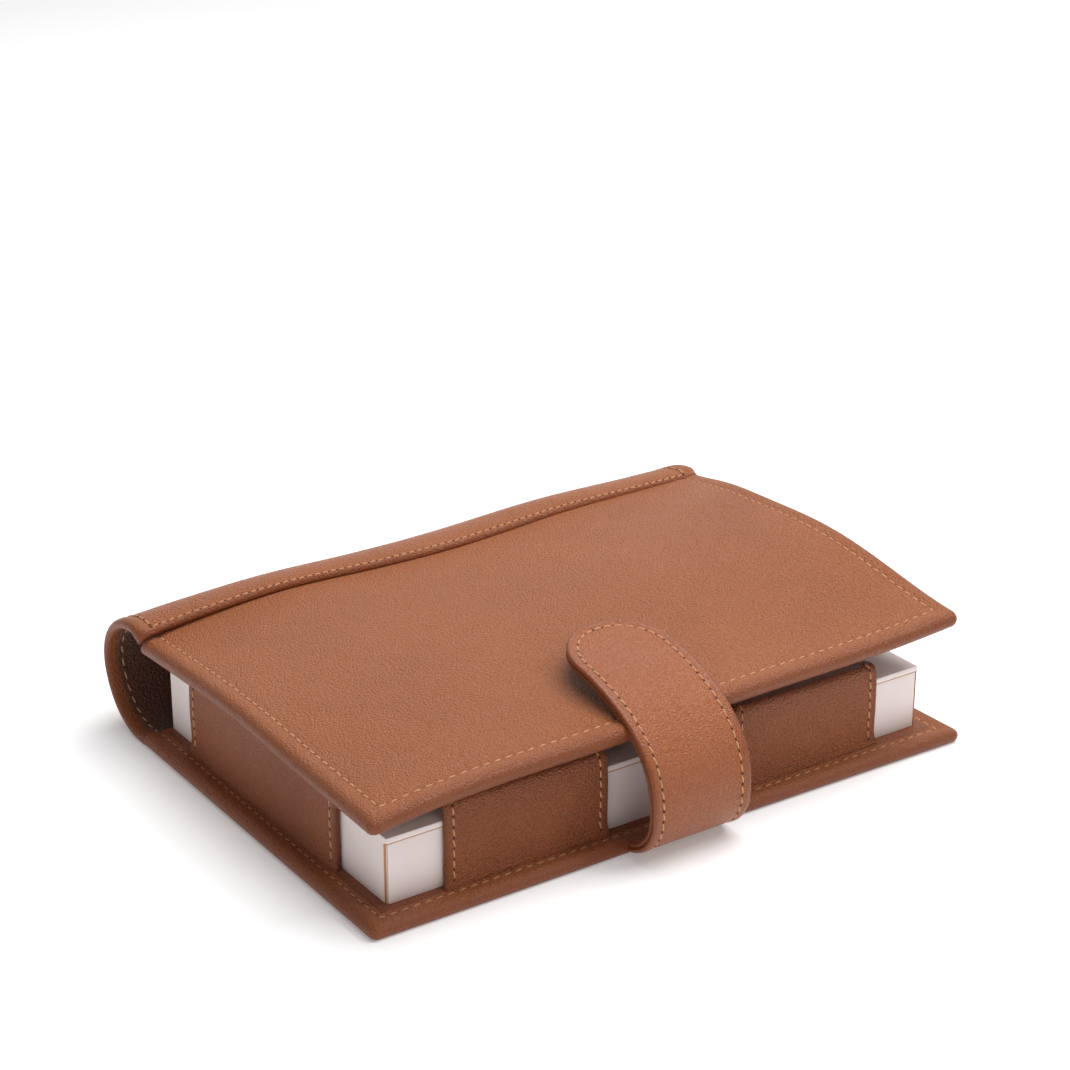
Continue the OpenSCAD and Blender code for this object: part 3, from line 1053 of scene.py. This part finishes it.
def build_band(name, node, origin, outward, along, half_w, body_lip):
    """One retaining band; origin is the middle of its foot on the block's face."""
    height = lid_hi[2] - back_hi[2] + BAND_RISE
    path = band_path(height, body_lip)
    path[:, 0] += BAND_T
    normal = normals_of(path, 1)
    if normal[len(normal) // 3, 0] < 0:
        normal = -normal
    s = length_along(path)
    total = s[-1]
    r = BAND_T / 2
    outward, along, origin = (np.asarray(v, float) for v in (outward, along, origin))
    up = np.array([0, 0, 1.0])
    rings, rims = [], []

    crest = s[int(np.argmax(path[:, 1]))]

    def half_at(k):
        """Half the band's width: a little less at its crest and more at its foot."""
        top = np.clip((s[k] - (crest - 5.0)) / 5.0, 0, 1)
        foot = np.clip(1 - path[k, 1] / 4.0, 0, 1)
        return half_w - 0.3 * top ** 2 + 0.6 * foot ** 2

    for k in range(len(path)):
        d_end = min(s[k], total - s[k])
        hw = half_at(k)
        ring = sheet_ring(hw, rounded(r, d_end, 0.02), int(half_w * 2 / 1.2))
        a, b = ring[:, 0], ring[:, 1]
        d = hw - np.abs(a)
        slack = 0.35 * np.cos(np.clip(a / hw, -1, 1) * np.pi / 2)
        slack *= math.sin(math.pi * min(s[k] / total * 1.4, 1))
        face = turned_edge(d, s[k], BAND_STITCH_IN) * 0.8
        out = b - r + face * (b / r) + slack
        rings.append(origin + np.outer(a, along) + np.outer(path[k, 0] + normal[k, 0] * out, outward)
                     + np.outer(path[k, 1] + normal[k, 1] * out, up))
        rims.append(np.clip(1.0 - d / 1.8, 0, 1))
    # The band leather is the covers' leather painted darker as shade.
    band = loft(name, rings, [SHADED_BAND_LEATHER], np.clip(np.concatenate(rims), 0, 1))
    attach(band, "back_cover")
    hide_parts(node)
    for side, label in ((-1, "a"), (1, "b")):
        points, vectors = [], []
        for k in range(4, len(path) - 3):
            a = side * (half_at(k) - BAND_STITCH_IN)
            points.append(origin + along * a + outward * path[k, 0] + up * path[k, 1])
            vectors.append(outward * normal[k, 0] + up * normal[k, 1])
        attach(stitch_run(f"{name}_stitches_{label}", points, vectors, BAND_STITCH_PITCH), "back_cover")


def build_bands():
    """A band on each short side and two on the fore-edge."""
    z0 = back_hi[2] + 0.2
    for name, side in (("near", -1), ("far", 1)):
        lo, hi = node_box("band_" + name)
        x_mid = (lo[0] + hi[0]) / 2 + END_BAND_TRIM
        half = (hi[0] - lo[0]) / 2 - END_BAND_TRIM
        face_y = card_hi[1] if side > 0 else card_lo[1]
        build_band("end_band_" + name, "band_" + name, (x_mid, face_y, z0), (0, side, 0), (1, 0, 0),
                   half, BAND_LIP)
    for name in ("near", "far"):
        lo, hi = node_box("band_fore_" + name)
        y_mid = (lo[1] + hi[1]) / 2
        half = (hi[1] - lo[1]) / 2
        build_band("fore_band_" + name, "band_fore_" + name, (card_hi[0], y_mid, z0), (1, 0, 0), (0, 1, 0),
                   half, BAND_LIP)


# --------------------------------------------------------------- card block

def bevelled_box(name, lo, hi, bevel, materials):
    """A box with bevelled edges."""
    bm = bmesh.new()
    bmesh.ops.create_cube(bm, size=1.0)
    lo, hi = np.asarray(lo, float), np.asarray(hi, float)
    for v in bm.verts:
        v.co = Vector(((lo + hi) / 2 + np.array(v.co) * (hi - lo)).tolist())
    bmesh.ops.bevel(bm, geom=list(bm.edges), offset=bevel, segments=2, profile=0.6,
                    affect="EDGES", clamp_overlap=True)
    bmesh.ops.subdivide_edges(bm, edges=[e for e in bm.edges if e.calc_length() > 20], cuts=6,
                              use_grid_fill=True)
    bmesh.ops.triangulate(bm, faces=[f for f in bm.faces if len(f.verts) > 4])
    verts = [tuple(v.co) for v in bm.verts]
    index = {v: i for i, v in enumerate(bm.verts)}
    faces = [tuple(index[v] for v in f.verts) for f in bm.faces]
    bm.free()
    return finish_mesh(name, verts, faces, materials, sharp=math.radians(35))


# The card block stands this much taller than in CAD, and its top flap is this deep.
CARD_GROW = 1.3
CARD_LIP = 1.7


def card_piece(name, lo, hi, bevel, materials):
    """One bevelled piece of the card block."""
    piece = bevelled_box(name, lo, hi, bevel, materials)
    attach(piece, "back_cover")
    return piece


def build_card():
    """The folded card block: plain ends, a top flap tucked over the fore face, kraft cut edges."""
    top = lid_hi[2] + CARD_GROW
    seam = top - CARD_LIP
    x0, y0, z0 = card_lo
    x1, y1 = card_hi[:2]
    sides = card_piece("card_block_sides", (x0, y0, z0), (x1 - 0.25, y1, top - 0.45), 0.3, [CARD])
    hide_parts("card_body")
    flap = card_piece("card_block_flap", (x0 - 0.1, y0 - 0.05, seam), (x1 + 0.45, y1 + 0.05, top),
                      0.55, [CARD])
    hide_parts("card_lid")
    card_piece("card_fore_face", (x1 - 1.2, y0 + 0.55, z0 + 0.1), (x1 + 0.22, y1 - 0.55, seam - 0.22),
               0.2, [CARD])
    card_piece("card_cut_edge_flap", (x1 - 1.0, y0 + 0.05, seam - 0.24), (x1 + 0.28, y1 - 0.05, seam + 0.12),
               0.06, [KRAFT])
    for label, y, side in (("near", y0, 1), ("far", y1, -1)):
        a, b = sorted((y - side * 0.04, y + side * 0.14))
        card_piece("card_cut_edge_" + label, (x1 - 0.9, a, z0 + 0.15), (x1 + 0.04, b, seam - 0.1),
                   0.06, [KRAFT])


# ----------------------------------------------------------------- the snap

def build_snap():
    """The stud and socket keep their CAD shape and take the metal."""
    for node in ("snap_stud", "snap_socket"):
        obj = frame["nodes"][node]
        obj.data.materials.clear()
        obj.data.materials.append(METAL)


# -------------------------------------------------------------------- stage

WORLD_LIGHT = 0.24


def build_stage():
    """A pale floor that fades into a white background, and soft light mostly from above."""
    centre = (Vector(cad_box[0]) + Vector(cad_box[1])) / 2
    bpy.ops.mesh.primitive_plane_add(size=8.0, location=(centre.x, centre.y, 0))
    floor = bpy.context.object
    floor.name = "floor"
    n = Nodes("floor")
    tone = n.noise(n.add("ShaderNodeTexCoord").outputs["Object"], 2.0, 2.0)
    n.shader({"Base Color": n.mix(tone, (0.88, 0.88, 0.88, 1), (0.90, 0.90, 0.90, 1)),
              "Roughness": 0.9, "Specular IOR Level": 0.1,
              "Emission Color": (1, 1, 1, 1), "Emission Strength": 0.18})
    floor.data.materials.append(n.material)

    world = bpy.data.worlds.new("studio")
    bpy.context.scene.world = world
    world.use_nodes = True
    world.node_tree.nodes["Background"].inputs["Color"].default_value = (1, 1, 1, 1)
    world.node_tree.nodes["Background"].inputs["Strength"].default_value = WORLD_LIGHT

    aim = Vector((0, 0, 0.01))

    def area(name, place, size, power):
        """A rectangular light that points at the object; place and size are in metres."""
        data = bpy.data.lights.new(name, "AREA")
        data.shape = "RECTANGLE"
        data.size, data.size_y = size
        data.energy = power
        light = bpy.data.objects.new(name, data)
        bpy.context.scene.collection.objects.link(light)
        light.location = place
        light.rotation_mode = "QUATERNION"
        light.rotation_quaternion = (aim - Vector(place)).to_track_quat("-Z", "Y")

    area("top_softbox", (-0.10, 0.36, 1.1), (1.1, 1.1), 17.3)
    area("satin_softbox", (0.55, 0.65, 0.98), (0.26, 0.26), 2.9)
    area("near_fill", (0.60, -1.05, 0.36), (0.9, 0.5), 1.5)
    area("fore_edge_softbox", (1.3, -0.1, 0.9), (0.9, 0.7), 1.9)
    area("white_backdrop_card", (-1.35, 1.15, 0.62), (2.2, 1.0), 3.4)


# Where the camera is judged to have stood for the photograph: its bearing and height above
# the horizon in degrees, its lens, and its place from the back cover's near fore-edge corner.
VIEW_AZIMUTH = 55.754
VIEW_ELEVATION = 22.853
LENS = 87.14
CAMERA_FROM_CORNER = (468.71, -273.92, 336.25)


def build_camera():
    """The camera, placed as it stood for the photograph."""
    data = bpy.data.cameras.new("camera")
    data.lens = LENS
    data.sensor_width = 36.0
    camera = bpy.data.objects.new("camera", data)
    bpy.context.scene.collection.objects.link(camera)
    corner = Vector((FORE_X, -HALF_LEN, 0.0))
    camera.location = (corner + Vector(CAMERA_FROM_CORNER)) * MM
    a, e = math.radians(VIEW_AZIMUTH), math.radians(VIEW_ELEVATION)
    back = Vector((math.sin(a) * math.cos(e), -math.cos(a) * math.cos(e), math.sin(e)))
    camera.rotation_mode = "QUATERNION"
    camera.rotation_quaternion = (-back).to_track_quat("-Z", "Y")
    data.clip_start, data.clip_end = 0.01, 20.0
    bpy.context.scene.camera = camera
    bpy.context.scene.view_settings.view_transform = "Standard"


build_panels()
build_linings()
build_spine()
build_strap()
build_bands()
build_card()
build_snap()
build_stage()
build_camera()
